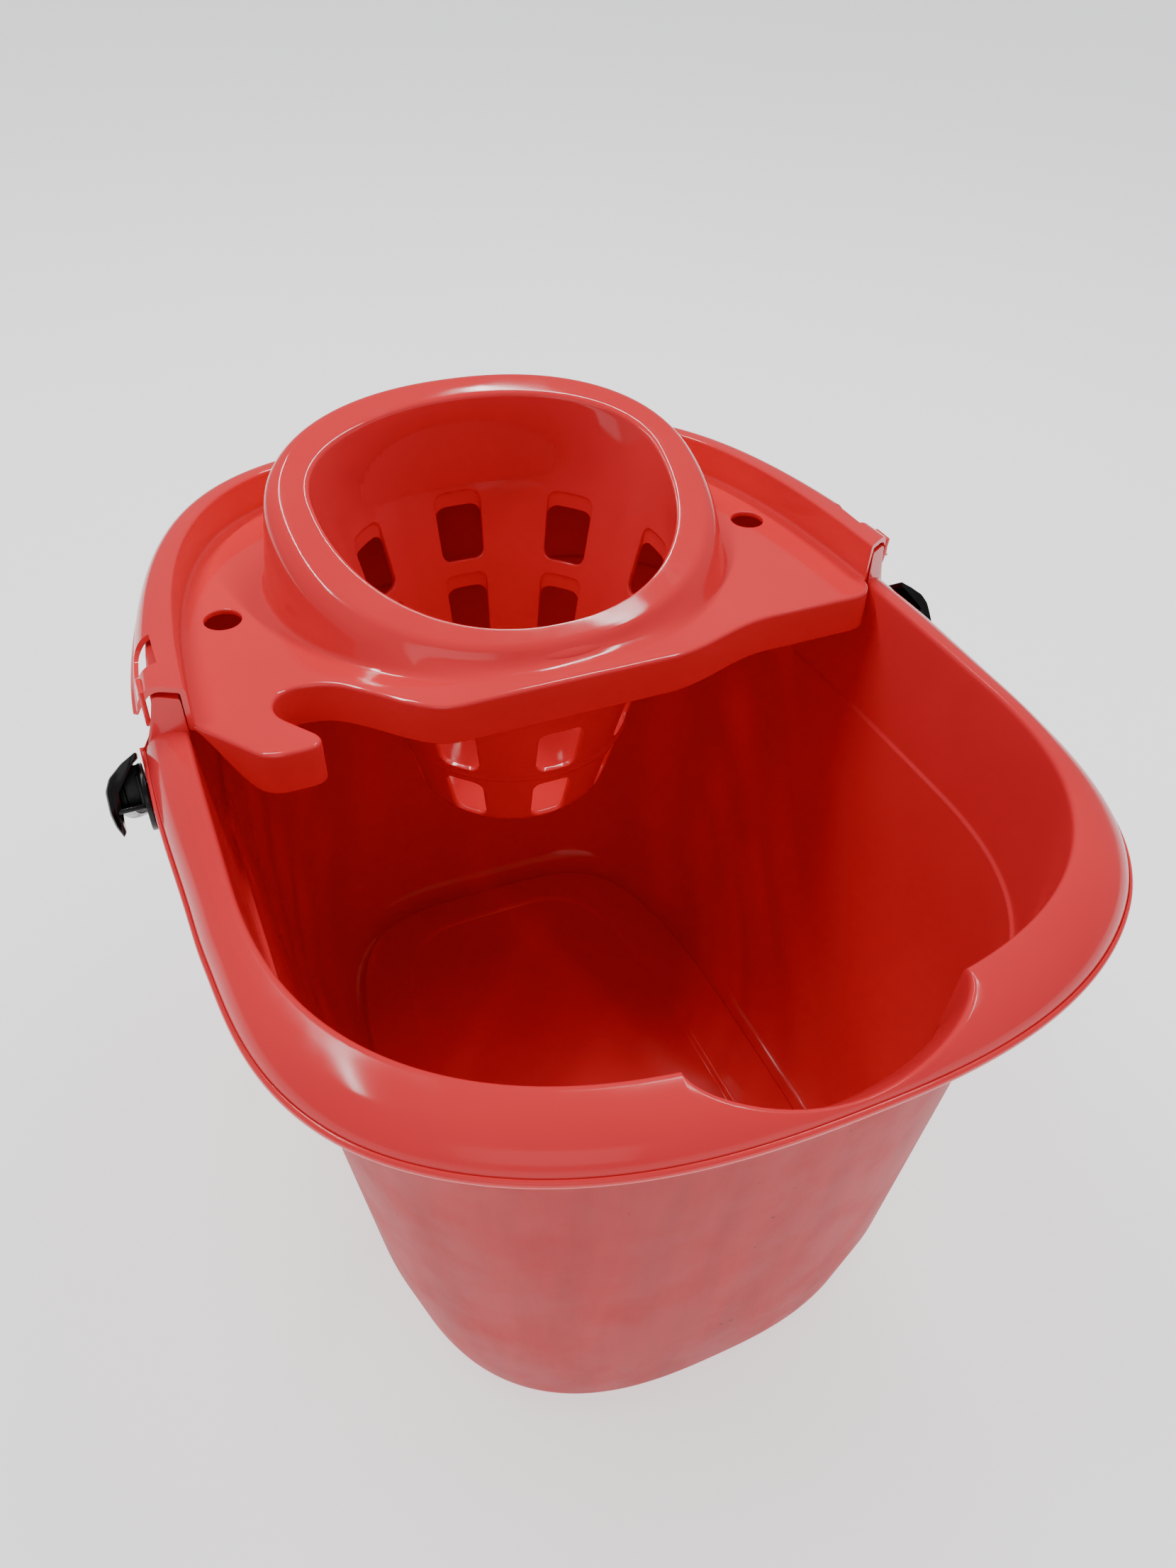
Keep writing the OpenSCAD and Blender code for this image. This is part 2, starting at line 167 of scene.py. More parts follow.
def oval_off(angle, outline, d):
    """The same outline moved outwards by d. Beside the wringer's seat the way out slants to the rear."""
    nearby = 0.007
    t = oval(angle + nearby, outline) - oval(angle - nearby, outline)
    normal = np.stack([t[:, 1], -t[:, 0]], -1) / np.linalg.norm(t, axis=-1, keepdims=True)
    along = np.stack([-normal[:, 1], normal[:, 0]], -1)
    way = normal + 0.53 * beside_seat(angle, 12)[:, None] * along
    return oval(angle, outline) + np.reshape(d, (-1, 1)) * way


def raised(plan, z):
    """A ring of 3-D points from plan points and one or many heights."""
    return np.column_stack([plan, np.broadcast_to(z, len(plan))])


def lengths(path):
    """Distance along a polyline at each of its points."""
    return np.concatenate([[0], np.cumsum(np.linalg.norm(np.diff(path, axis=0), axis=1))])


def towards(p, q, d):
    """Points p moved d towards points q, at most halfway."""
    span = np.linalg.norm(q - p, axis=-1, keepdims=True)
    return p + (q - p) * np.minimum(d / np.maximum(span, 1e-9), 0.5)


def soften(corners, trims, steps=5):
    """Rings through corner rings, each inner corner rounded by a curve that starts its trim away from it."""
    rings = [corners[0]]
    for before, here, after, trim in zip(corners, corners[1:], corners[2:], trims):
        if trim == 0:
            rings.append(here)
            continue
        a, b = towards(here, before, trim), towards(here, after, trim)
        for k in np.linspace(0, 1, steps):
            rings.append((1 - k) ** 2 * a + 2 * k * (1 - k) * here + k * k * b)
    return rings + [corners[-1]]


def smoothed(path, spacing, passes):
    """A polyline resampled at about the given spacing, with its corners worn round."""
    along = lengths(path)
    at = np.linspace(0, along[-1], int(along[-1] / spacing) + 1)
    out = np.column_stack([np.interp(at, along, path[:, i]) for i in range(path.shape[1])])
    # A polyline resampled at about the given spacing, with its corners rounded off.
    for _ in range(passes):
        out[1:-1] = (out[:-2] + 2 * out[1:-1] + out[2:]) / 4
    return out


def arc(centre, r, a, b, n):
    t = np.radians(np.linspace(a, b, n + 1))
    return np.array(centre) + r * np.column_stack([np.cos(t), np.sin(t)])


# ---------------------------------------------------------------- meshes

class Shell:
    """Collects grids of points in millimetres and turns them into one mesh object in metres."""

    def __init__(self):
        self.points = []
        self.faces = []
        self.tags = []

    def add(self, points, tag=0.0):
        first = len(self.points)
        self.points.extend(map(tuple, points))
        self.tags.extend([tag] * len(points))
        return first

    def grid(self, rings, closed=True, tags=None):
        n = len(rings[0])
        firsts = [self.add(r, 0.0 if tags is None else tags[i]) for i, r in enumerate(rings)]
        for a, b in zip(firsts, firsts[1:]):
            for j in range(n if closed else n - 1):
                k = (j + 1) % n
                self.faces.append((a + j, a + k, b + k, b + j))
        return firsts

    def cap(self, ring):
        """Closes a loop of points with a fan round its centre."""
        first = self.add(ring)
        centre = self.add([np.mean(ring, axis=0)])
        self.faces += [(first + j, first + (j + 1) % len(ring), centre) for j in range(len(ring))]

    def sheet(self, loops):
        """Fills the flat area between an outer loop and the loops inside it."""
        bm = bmesh.new()
        edges = []
        for loop in loops:
            made = [bm.verts.new(p) for p in loop]
            edges += [bm.edges.new((a, b)) for a, b in zip(made, made[1:] + made[:1])]
        bmesh.ops.triangle_fill(bm, edges=edges, use_beauty=True)
        bm.verts.index_update()
        first = self.add([tuple(v.co) for v in bm.verts])
        self.faces += [tuple(first + v.index for v in f.verts) for f in bm.faces]
        bm.free()

    def build(self, name, sharp=38.0, weld=0.004):
        mesh = bpy.data.meshes.new(name)
        mesh.from_pydata([tuple(c * MM for c in p) for p in self.points], [], self.faces)
        # Per-point mask, 1 on the bucket's underside and outer wall: it marks dust and scuffs there, and also
        # where the colour is painted darker as shade.
        tag = mesh.attributes.new("dust_and_shade_mask", "FLOAT", "POINT")
        tag.data.foreach_set("value", np.array(self.tags, np.float32))
        bm = bmesh.new()
        bm.from_mesh(mesh)
        bmesh.ops.remove_doubles(bm, verts=bm.verts, dist=weld * MM)
        bmesh.ops.dissolve_degenerate(bm, edges=bm.edges, dist=weld * MM)
        bmesh.ops.recalc_face_normals(bm, faces=bm.faces)
        bm.to_mesh(mesh)
        bm.free()
        mesh.shade_smooth()
        mesh.set_sharp_from_angle(angle=math.radians(sharp))
        obj = bpy.data.objects.new(name, mesh)
        bpy.context.scene.collection.objects.link(obj)
        return obj


# ---------------------------------------------------------------- bucket

def wall_outline(z):
    z = np.asarray(z, float)
    k = np.clip(z / LIP_Z, 0, 1)
    ledge = LEDGE_IN * (1 - ease((z - LEDGE_Z + 1.1) / 1.1))
    sizes = [lerp(FOOT[i], MOUTH[i], k) - ledge for i in range(3)]
    return (*sizes, lerp(FOOT[3], MOUTH[3], k), lerp(FOOT[4], MOUTH[4], k))


SEAT_ANGLE = math.atan((SEAT_Y - MID_Y) / (MOUTH[0] - 1))


def bucket_angles(spacing=2.6):
    """Angles round the bucket at even steps, with columns on the scoop's corners and the rim's steps."""
    scoop = -math.atan((MOUTH[1] - SCOOP_CORNER) / SCOOP_HALF)
    dense = np.linspace(-math.pi / 2, math.pi / 2, 4001)
    along = lengths(oval(dense, MOUTH))
    stops = [-math.pi / 2, scoop, SEAT_ANGLE, SEAT_ANGLE + STEP_ANGLE, math.pi / 2]
    right = []
    for i, (a, b) in enumerate(zip(stops, stops[1:])):
        s = np.interp([a, b], dense, along)
        n = max(1, int((s[1] - s[0]) / spacing))
        k = np.linspace(0, 1, n + 1)[:-1]
        if i == 0:
            k = np.sin(k * math.pi / 2)
        right.extend(np.interp(lerp(s[0], s[1], k), along, dense))
    right = np.array(right + [math.pi / 2])
    return np.concatenate([right, math.pi - right[-2:0:-1]])


def bucket_shell():
    f = bucket_angles()
    rear = np.sin(f) > math.sin(SEAT_ANGLE + STEP_ANGLE / 2)
    mouth = oval(f, MOUTH)
    ahead = ease((-70 - mouth[:, 1]) / 65)
    lip_w = LIP_SIDE + LIP_GROWTH * ease((mouth[:, 1] + 60) / 60) + (LIP_FRONT - LIP_SIDE) * ahead
    lip_w = np.where(rear, REAR_W + REAR_END * np.abs(beside_seat(f, 22)), lip_w - BEAD * (1 - ahead))
    across = np.clip(np.abs(mouth[:, 0]) / SCOOP_HALF, 0, 1)
    scoop = np.where(mouth[:, 1] < MID_Y, SCOOP_DEPTH * (1 - across ** 2) ** 0.6, 0)
    start = np.arcsin(np.clip(scoop / lip_w, 0, 1))
    edge_z = np.where(rear, REAR_Z, LIP_Z - LIP_DROP * (1 - np.cos(start)))
    low_z = np.where(rear, REAR_Z - REAR_DROP, LIP_Z - LIP_DROP)

    def flare(z):
        return scoop * np.clip((z - FLARE_Z) / (edge_z - FLARE_Z), 0, 1) ** 1.6

    def wall(z, d):
        z = np.broadcast_to(np.asarray(z, float), len(f))
        return raised(oval_off(f, wall_outline(z), d + flare(z)), z)

    def lip(d, z):
        return raised(oval_off(f, MOUTH, d), z)

    def shrunk(ring, k):
        centre = np.array([0, MID_Y + 16, 0])
        return np.column_stack([lerp(centre[:2], ring[:, :2], k), ring[:, 2]])

    # Under the lip, from the wall out to the skirt's lower edge
    under = LIP_Z - 2.6 - LIP_DROP * (1 - np.sqrt(1 - np.clip((scoop + WALL + 1) / lip_w, 0, 0.97) ** 2))
    under = np.where(rear, REAR_Z - 2.6, under)
    d_in = flare(under) + WALL
    d_out = np.maximum(d_in + 0.3, lip_w - SKIRT)
    bead = np.where(rear, 0, BEAD)
    seat = np.where(rear, 226.0, 212.0)

    base = soften([wall(2.5, -30), wall(2.5, -12.5), wall(0, -11.5), wall(0, -1.2), wall(40, WALL)],
                  [1, 0.8, 7], 6)
    outer = [wall(z, WALL) for z in (60, 80, 100, 120, 140, 160, 172, 179.5)]
    outer += [wall(z, WALL) for z in (180.6, 180.9, 181.2, 181.5, 181.8, 182.1)] + [wall(190, WALL)]
    outer += [wall(lerp(190, seat, k), WALL) for k in (0.25, 0.5, 0.75)]
    # The lip's top, from the lower edge up to the mouth
    steps = 18
    rim_corners = np.array([(0.0, 0.0), (REAR_W, 0.0), (REAR_W, 9.2)])
    rim_path = np.array(soften(list(rim_corners), [2.6], 9))
    rim_along = lengths(rim_path)
    end_phi = math.radians(80)
    first = np.minimum(5.2 / np.maximum(lip_w * (end_phi - start), 1), 0.6)
    top = []
    for j in range(steps + 1):
        share = 0 if j == 0 else lerp(first, 1, (j - 1) / (steps - 1))
        phi = lerp(start, end_phi, share)
        at = rim_along[-1] * j / steps
        d = np.where(rear, np.interp(at, rim_along, rim_path[:, 0]) * lip_w / REAR_W,
                     np.maximum(lip_w * np.sin(phi), scoop))
        drop = np.where(rear, np.interp(at, rim_along, rim_path[:, 1]), LIP_DROP * (1 - np.cos(phi)))
        top.append(lip(d, np.where(rear, REAR_Z, LIP_Z) - drop))
    skirt = soften([wall(seat, WALL), lip(d_in, under), lip((d_in + d_out) / 2, under - 1.2),
                    lip(d_out, low_z), lip(lip_w + bead, low_z), lip(lip_w + bead, low_z + 2.3),
                    lip(lip_w - 0.25 * bead, low_z + 2.9), top[-1]], [1.5, 1.5, 0.6, 1.0, 0.9, 0.5], 4)
    inner = [wall(lerp(edge_z, 190, k), 0) for k in (0.16, 0.3, 0.45, 0.6, 0.8, 1)]
    inner += [wall(z, 0) for z in (184, 182.4, 182.1, 181.8, 181.5, 181.2, 180.9, 180.6, 179.5)]
    inner += [wall(z, 0) for z in (172, 160, 140, 120, 100, 80, 60, 45)]
    panel = oval(f, FLOOR_PANEL)
    panel_in = oval_off(f, FLOOR_PANEL, -2.0)
    bend = np.radians(np.linspace(0, 90, 12))
    floor = [wall(6.6 + 26 * (1 - math.sin(a)), -14.5 * (1 - math.cos(a))) for a in bend]
    floor += soften([wall(6.6, -14.9), wall(6.6, -16.2), wall(9.4, -18.4), raised(panel, 9.2),
                     raised(panel_in, 7.8), raised(panel_in, 7.8) * [0.5, 1, 1]], [0.6, 1.2, 1.0, 1.0], 5)
    floor[-1] = shrunk(floor[-2], 0.5)
    shell = Shell()
    mouth_ring = soften([top[1], top[0], inner[0]], [2.6], 7)[1:-1]
    chain = [shrunk(base[0], 0.02), shrunk(base[0], 0.5)] + base + outer
    # The rings so far, underside and outer wall, take the mask for dust and scuffs that also paints their
    # colour darker as shade.
    dust_and_shade = len(chain)
    chain += skirt[:-1] + top[:0:-1] + mouth_ring + inner + floor + [shrunk(floor[-1], 0.04)]
    tags = [1.0] * dust_and_shade + [0.0] * (len(chain) - dust_and_shade)
    shell.grid(chain, tags=tags)
    shell.cap(chain[0])
    shell.cap(chain[-1])
    return shell.build("bucket")


# ---------------------------------------------------------------- wringer

TRAY_START = SEAT_ANGLE + TRAY_GAP
CHANNEL_ANGLES = np.linspace(TRAY_START, math.pi - TRAY_START, 181)


def front_path():
    """The tray's front edge, left to right: finger, notch, bulge round the collar, right end."""
    ends = oval_off(CHANNEL_ANGLES[[-1, 0]], MOUTH, -TRAY_IN)
    t = np.linspace(0, 1, 15)
    wave = (1 - np.cos(math.pi * t)) / 2
    notch = arc((-95, 18.6), NOTCH_R, 218, 76, 24)
    left = [ends[0], (-113.5, -3.5)]
    tip = np.vstack([arc((-108, 0.4), 6, -110, -90, 4), arc((-97.5, -1.4), 4.2, -90, 42, 10)])
    rise = np.column_stack([lerp(-91, -47, t), lerp(27.8, -1.2, wave)])
    flat = np.column_stack([lerp(33, 82, t), lerp(-1.4, 9.4, wave)])
    corner = arc((120, 19.6), 10.2, -86, -8, 8)
    path = np.vstack([left, tip, notch, rise, flat, corner, [ends[1]]])
    return smoothed(path, 1.1, 6)


def path_normals(path):
    t = np.gradient(path, axis=0)
    return np.column_stack([-t[:, 1], t[:, 0]]) / np.linalg.norm(t, axis=1, keepdims=True)


def collar_outline(outline, d=0.0):
    """Radius of a collar outline about the basket's axis, as a function of the angle."""
    half, front, rear, widest, n = outline
    t = np.linspace(0, 2 * math.pi, 721)
    depth = np.where(np.sin(t) < 0, widest - front, rear - widest)
    e = 2 / n
    x = (half + d) * np.sign(np.cos(t)) * np.abs(np.cos(t)) ** e
    y = widest + (depth + d) * np.sign(np.sin(t)) * np.abs(np.sin(t)) ** e - BASKET_Y
    a = np.arctan2(y, x) % (2 * math.pi)
    order = np.argsort(a)
    return lambda angle: np.interp(angle % (2 * math.pi), a[order], np.hypot(x, y)[order], period=2 * math.pi)


COLUMNS = 16 * SECTORS
ROUND = math.pi / SECTORS + np.linspace(0, 2 * math.pi, COLUMNS, endpoint=False)


def round_ring(radius, z):
    """A ring about the basket's axis, at COLUMNS even angles."""
    plan = np.column_stack([radius * np.cos(ROUND), BASKET_Y + radius * np.sin(ROUND)])
    return raised(plan, z)


def mouth_plane(y):
    return MOUTH_Z + MOUTH_SLOPE * (y - COLLAR_EDGE[3])


def collar_ring(outline, d, drop):
    radius = collar_outline(outline, d)(ROUND)
    y = BASKET_Y + radius * np.sin(ROUND)
    return round_ring(radius, np.maximum(TRAY_Z + 1.0, mouth_plane(y) - drop))


def tray():
    path = front_path()
    normals = path_normals(path)
    # The inset turns to lie along the channel's end at both ends of the path
    for end, ring_angle in ((0, CHANNEL_ANGLES[-1]), (-1, CHANNEL_ANGLES[0])):
        a = oval_off(np.array([ring_angle]), MOUTH, -TRAY_IN - SEAM)[0] - path[end]
        k = np.clip(1 - np.abs(np.linalg.norm(path - path[end], axis=1)) / 5, 0, 1)[:, None]
        normals = normals * (1 - k) + a / SEAM * k
    reach = np.linalg.norm(path - path[0], axis=1)
    reach_right = np.linalg.norm(path - path[-1], axis=1)
    drop = TRAY_T + (APRON - TRAY_T) * ease(reach / 27) ** 0.8 * ease(reach_right / 9) ** 0.6

    def ring(d, z):
        return raised(path + d * normals, z)

    low = TRAY_Z - drop
    under = TRAY_Z - TRAY_T
    shell = Shell()
    shell.grid(soften([ring(SEAM, TRAY_Z), ring(0, TRAY_Z), ring(-0.5, low), ring(1.7, low),
                       ring(2.3, under), ring(SEAM, under)], [1.7, 0.8, 0.8, 0.4], 6), closed=False)
    rear = oval_off(CHANNEL_ANGLES, MOUTH, -TRAY_IN - SEAM)
    hole_in = collar_outline(COLLAR_BASE, SEAM)(ROUND)
    for z, wider in ((TRAY_Z, HOLE_EDGE), (under, HOLE_EDGE / 2)):
        edge = raised(path + SEAM * normals, z)
        loops = [np.vstack([edge, raised(rear[1:-1], z)]), round_ring(hole_in, z)]
        for side in (-1, 1):
            rim = arc((side * HOLE_AT[0], HOLE_AT[1]), HOLE_R + wider, 0, 360, 48)[:-1]
            loops.append(raised(rim, z))
        shell.sheet(loops)
    for side in (-1, 1):
        def rim_ring(r, z):
            return raised(arc((side * HOLE_AT[0], HOLE_AT[1]), r, 0, 360, 48)[:-1], z)
        shell.grid(soften([rim_ring(HOLE_R + HOLE_EDGE, TRAY_Z), rim_ring(HOLE_R, TRAY_Z),
                           rim_ring(HOLE_R, under), rim_ring(HOLE_R + HOLE_EDGE / 2, under)], [1.0, 0.5], 5))
    # Seam faces against the channel and the collar
    shell.grid([raised(rear, TRAY_Z), raised(rear, under)], closed=False)
    shell.grid([round_ring(hole_in, TRAY_Z), round_ring(hole_in, under)])
    return shell.build("tray")


def channel():
    under = TRAY_Z - TRAY_T
    # Distance out, share of the extra width at the ends, and height
    section = [(-SEAM, 0, TRAY_Z), (0, 0, TRAY_Z), (0.2, 0, CHANNEL_Z), (8.0, 0.55, CHANNEL_Z - 0.1),
               (11.5, 0.72, 241.4), (12.0, 0.8, 236.6), (12.8, 1, 235.2), (11.0, 1, 235.0),
               (9.8, 0.75, 240.4), (7.0, 0.55, CHANNEL_Z - 2.3), (2.0, 0, CHANNEL_Z - 1.9),
               (1.8, 0, under), (-SEAM, 0, under)]
    trims = [1.5, 1.4, 4.4, 2.6, 0.6, 0.7, 0.7, 1.2, 3.0, 1.0, 1.0]
    extra = CHANNEL_END * np.abs(beside_seat(CHANNEL_ANGLES, 22))
    rings = [raised(oval_off(CHANNEL_ANGLES, MOUTH, d + share * extra - TRAY_IN), z)
             for d, share, z in section]
    shell = Shell()
    rings = soften(rings, trims, 6)
    shell.grid(rings + [rings[0]], closed=False)
    for end in (0, -1):
        shell.sheet([np.array([r[end] for r in rings])])
    body = shell.build("rim_channel")
    for side in (-1, 1):
        cut = Shell()
        window = np.vstack([arc((7.4, 9.0), 1.6, 0, 90, 4), arc((-7.4, 9.0), 1.6, 90, 180, 4),
                            arc((-4.6, -0.6), 4.4, 180, 270, 6), arc((4.6, -0.6), 4.4, 270, 360, 6)])
        ends = [np.column_stack([np.full(len(window), side * x), WINDOW_AT[0] + window[:, 0],
                                 WINDOW_AT[1] + window[:, 1]]) for x in WINDOW_SPAN]
        cut.grid(ends)
        cut.cap(ends[0])
        cut.cap(ends[1])
        cutter = cut.build("slot_cutter")
        boolean = body.modifiers.new("slot", "BOOLEAN")
        boolean.operation = "DIFFERENCE"
        boolean.solver = "EXACT"
        boolean.object = cutter
        apply_modifiers(body)
        bpy.data.objects.remove(cutter)
    body.data.shade_smooth()
    body.data.set_sharp_from_angle(angle=math.radians(38))
    return body


def apply_modifiers(obj):
    evaluated = obj.evaluated_get(bpy.context.evaluated_depsgraph_get())
    mesh = bpy.data.meshes.new_from_object(evaluated)
    obj.modifiers.clear()
    obj.data = mesh


def snap_tongue(side):
    """Pointed tongue that hangs inside the channel's end and grips the rim."""
    outline = np.array([(0.2, 244.6), (9.5, 244.6), (11.5, 240.0), (8.2, 233.5), (5.4, 229.4), (3.8, 228.2),
                        (2.4, 229.6), (0.9, 234.5)])
    outline = smoothed(np.vstack([outline, outline[:1]]), 0.7, 3)[:-1]
    shell = Shell()
    x = side * TONGUE_X
    rings = []
    for depth, inset in ((-0.9, 0.5), (-0.65, 0.1), (-0.3, 0.0), (0.3, 0.0), (0.65, 0.1), (0.9, 0.5)):
        centre = outline.mean(axis=0)
        plan = towards(outline, np.broadcast_to(centre, outline.shape), inset)
        rings.append(np.column_stack([np.full(len(plan), x + depth), TONGUE_Y + plan[:, 0], plan[:, 1]]))
    shell.grid(rings)
    shell.cap(rings[0])
    shell.cap(rings[-1])
    return shell.build("snap_tongue_" + ("left" if side < 0 else "right"))


def basket_profile(s):
    """Radius and height of the basket's outside, s mm down its wall from the tray, and its outward normal."""
    lean = (BASKET_R - BASKET_FOOT) / (TRAY_Z - BASKET_Z - BASKET_CORNER)
    corner_r = BASKET_FOOT - lean * BASKET_CORNER
    corners = [np.array([[BASKET_R + lean * 20, TRAY_Z + 20]]), np.array([[corner_r, BASKET_Z]]),
               np.array([[0.0, BASKET_Z]])]
    line = np.vstack(soften(corners, [BASKET_CORNER * 1.02], 25))
    along = lengths(line)
    along -= 20 * math.hypot(1, lean)
    s = np.asarray(s, float)
    r, z = np.interp(s, along, line[:, 0]), np.interp(s, along, line[:, 1])
    e = 0.4
    tr = np.interp(s + e, along, line[:, 0]) - np.interp(s - e, along, line[:, 0])
    tz = np.interp(s + e, along, line[:, 1]) - np.interp(s - e, along, line[:, 1])
    size = np.hypot(tr, tz)
    return r, z, -tz / size, tr / size


def basket_point(angle, s, depth):
    """A point depth millimetres into the basket's wall."""
    r, z, nr, nz = basket_profile(s)
    r, z = r - nr * depth, z - nz * depth
    return np.column_stack([r * np.cos(angle), BASKET_Y + r * np.sin(angle), z])


def rounded_cell(half, low, high, corner, n):
    """4n points round a rounded rectangle, matched to those that cell_border gives."""
    k = n // 4
    sides = []
    for cx, cy, turn in ((half, low, 0), (half, high, 1), (-half, high, 2), (-half, low, 3)):
        inner = np.array([cx - math.copysign(corner, cx), cy + (corner if cy == low else -corner)])
        sides.append((inner, turn))
    points = []
    for i in range(4):
        inner, turn = sides[i]
        nxt = sides[(i + 1) % 4][0]
        first = arc(inner, corner, -45 + 90 * turn, 90 * turn, k)[:-1]
        a = inner + corner * np.array([math.cos(math.pi / 2 * turn), math.sin(math.pi / 2 * turn)])
        b = nxt + corner * np.array([math.cos(math.pi / 2 * turn), math.sin(math.pi / 2 * turn)])
        straight = a + (b - a) * np.linspace(0, 1, n - 2 * k + 1)[:-1, None]
        last = arc(nxt, corner, 90 * turn, 45 + 90 * turn, k)[:-1]
        points += [first, straight, last]
    return np.vstack(points)


def cell_border(left, right, n):
    """4n points round a rectangle, from its lower right corner upwards: x, and the share of its height."""
    k = np.linspace(0, 1, n + 1)[:-1]
    x = np.concatenate([np.full(n, right), lerp(right, left, k), np.full(n, left), lerp(left, right, k)])
    t = np.concatenate([k, np.ones(n), 1 - k, np.zeros(n)])
    return x, t


def collar_and_basket():
    n = COLUMNS // SECTORS
    shell = Shell()
    wide = 2 * math.pi / SECTORS
    # Where the inner skin's cells may reach above the tray: not at the front, under the collar's low lip
    def rise(angle):
        return 6.5 * ease((np.sin(angle) + 0.75) / 0.5)

    slope = math.hypot(1, (BASKET_R - BASKET_FOOT) / (TRAY_Z - BASKET_Z - BASKET_CORNER))
    rows = [(218.2, 20.0, 23.0, TRAY_Z, 200.8), (182.8, 18.0, 23.6, 200.8, RIB_Z + RIB_HALF),
            (151.5, 15.5, 23.0, RIB_Z - RIB_HALF, None)]
    bottom_s = 101.0

    def down(z):
        return (TRAY_Z - z) * slope

    for index, (zc, w, h, z_top, z_low) in enumerate(rows):
        s_top = down(z_top)
        s_low = bottom_s if z_low is None else down(z_low)
        hole_top, hole_low = down(zc + h / 2), down(zc - h / 2)
        r_mid = basket_profile(down(zc))[0]
        for i in range(SECTORS):
            middle = wide * i
            lifted = index > 0
            recess = 6.5 if lifted else 0.6 + 5.6 * float(ease((math.sin(middle) + 0.75) / 0.5))
            bx, bt = cell_border(-wide / 2, wide / 2, n)
            top_in = s_top - (0 if lifted else rise(middle + bx))
            border_out = np.column_stack([bx, lerp(s_top, s_low, bt)])
            border_in = np.column_stack([bx, lerp(top_in, s_low, bt)])
            # Holes are laid out across by arc length at the hole's own middle
            hole = rounded_cell(w / 2, hole_top, hole_low, 4.5, n)
            hole_in = rounded_cell(w / 2, hole_top - recess, hole_low, 4.5, n)
            hole[:, 0] /= r_mid
            hole_in[:, 0] /= r_mid

            def ring(base, border, grow, depth):
                """Points from the hole's edge towards the cell's border: grow mm out, or a share past 3."""
                delta = border - base
                size = np.hypot(delta[:, 0] * r_mid, delta[:, 1])
                share = np.minimum(grow / size, 0.45) if grow <= 2.2 else np.full(len(base), grow - 3)
                p = base + delta * share[:, None]
                return basket_point(middle + p[:, 0], p[:, 1], depth)

            rings = [ring(hole, border_out, g, 0) for g in (4.0, 3.75, 3.55)]
            rings += [ring(hole, border_out, g, d) for g, d in
                      ((1.6, 0), (0.7, 0), (0.3, 0.08), (0.08, 0.3), (0, 0.7))]
            rings += [ring(hole_in, border_in, g, BASKET_T - d) for g, d in
                      ((0, 0.7), (0.08, 0.3), (0.3, 0.08), (0.7, 0), (1.6, 0))]
            rings += [ring(hole_in, border_in, g, BASKET_T) for g in (3.55, 3.75, 4.0)]
            shell.grid(rings)

    angle = ROUND
    flat = np.zeros(COLUMNS)
    # The rib between the lower rows, outside, and the plain strip behind it
    rib = [(RIB_Z + RIB_HALF, 0), (RIB_Z + 1.6, 0), (RIB_Z + 1.0, 0.7), (RIB_Z + 0.3, 1.1),
           (RIB_Z - 0.4, 1.0), (RIB_Z - 0.9, 0.3), (RIB_Z - 1.4, 0), (RIB_Z - RIB_HALF, 0)]
    shell.grid([basket_point(angle, flat + down(z), -d) for z, d in rib])
    shell.grid([basket_point(angle, flat + down(z), BASKET_T) for z, _ in rib])
    # Closed bottom
    for depth in (0, BASKET_T):
        edge = basket_point(angle, flat + bottom_s, depth)
        z_end = BASKET_Z + depth
        disc = [edge]
        for s in (102.5, 104.0):
            disc.append(basket_point(angle, flat + s, depth))
        r1 = np.hypot(disc[-1][0][0], disc[-1][0][1] - BASKET_Y)
        disc += [round_ring(np.full(COLUMNS, r1 * k), z_end) for k in (0.9, 0.6, 0.3, 0.05)]
        shell.grid(disc)
        shell.cap(disc[-1])
    # Funnel from the inner cells up to the collar's mouth
    top_s = -rise(angle)
    foot = basket_point(angle, top_s, BASKET_T)
    foot_r = np.hypot(foot[:, 0], foot[:, 1] - BASKET_Y)
    edge = collar_ring(COLLAR_EDGE, 0, 0)
    edge_r = np.hypot(edge[:, 0], edge[:, 1] - BASKET_Y)
    rise_z = edge[:, 2] - foot[:, 2]
    lean = (BASKET_R - BASKET_FOOT) / (TRAY_Z - BASKET_Z - BASKET_CORNER)
    secant = (edge_r - foot_r) / rise_z
    funnel = []
    for t in np.linspace(0, 1, 13)[:-1]:
        h00, h10 = 2 * t ** 3 - 3 * t ** 2 + 1, t ** 3 - 2 * t ** 2 + t
        h01, h11 = -2 * t ** 3 + 3 * t ** 2, t ** 3 - t ** 2
        r = h00 * foot_r + h10 * rise_z * lean + h01 * edge_r + h11 * rise_z * secant * 1.1
        funnel.append(round_ring(r, foot[:, 2] + rise_z * t))
    seam_in = collar_outline(COLLAR_BASE, SEAM)(ROUND)
    base_in = collar_outline(COLLAR_BASE, -2.0)(ROUND)
    under = TRAY_Z - TRAY_T
    outer = soften([funnel[-1], edge, collar_ring(COLLAR_CROWN, 0, 0.1), collar_ring(COLLAR_LIP, 0.3, 4.6),
                    round_ring(collar_outline(COLLAR_BASE)(ROUND), TRAY_Z), round_ring(seam_in, TRAY_Z)],
                   [2.4, 2.2, 3.4, 2.6], 7)
    shell.grid(funnel + outer[1:])
    back_foot = basket_point(angle, flat, 0)
    back_top = collar_ring(COLLAR_EDGE, BASKET_T, 4.0)
    behind = soften([round_ring(seam_in, under), round_ring(base_in, under),
                     collar_ring(COLLAR_LIP, -2.2, 6.8), back_top, back_foot], [1.2, 1.5, 1.2], 4)
    shell.grid(behind)
    shell.grid([round_ring(seam_in, TRAY_Z), round_ring(seam_in, under)])
    return shell.build("collar_and_basket", sharp=50)


# ---------------------------------------------------------------- bail

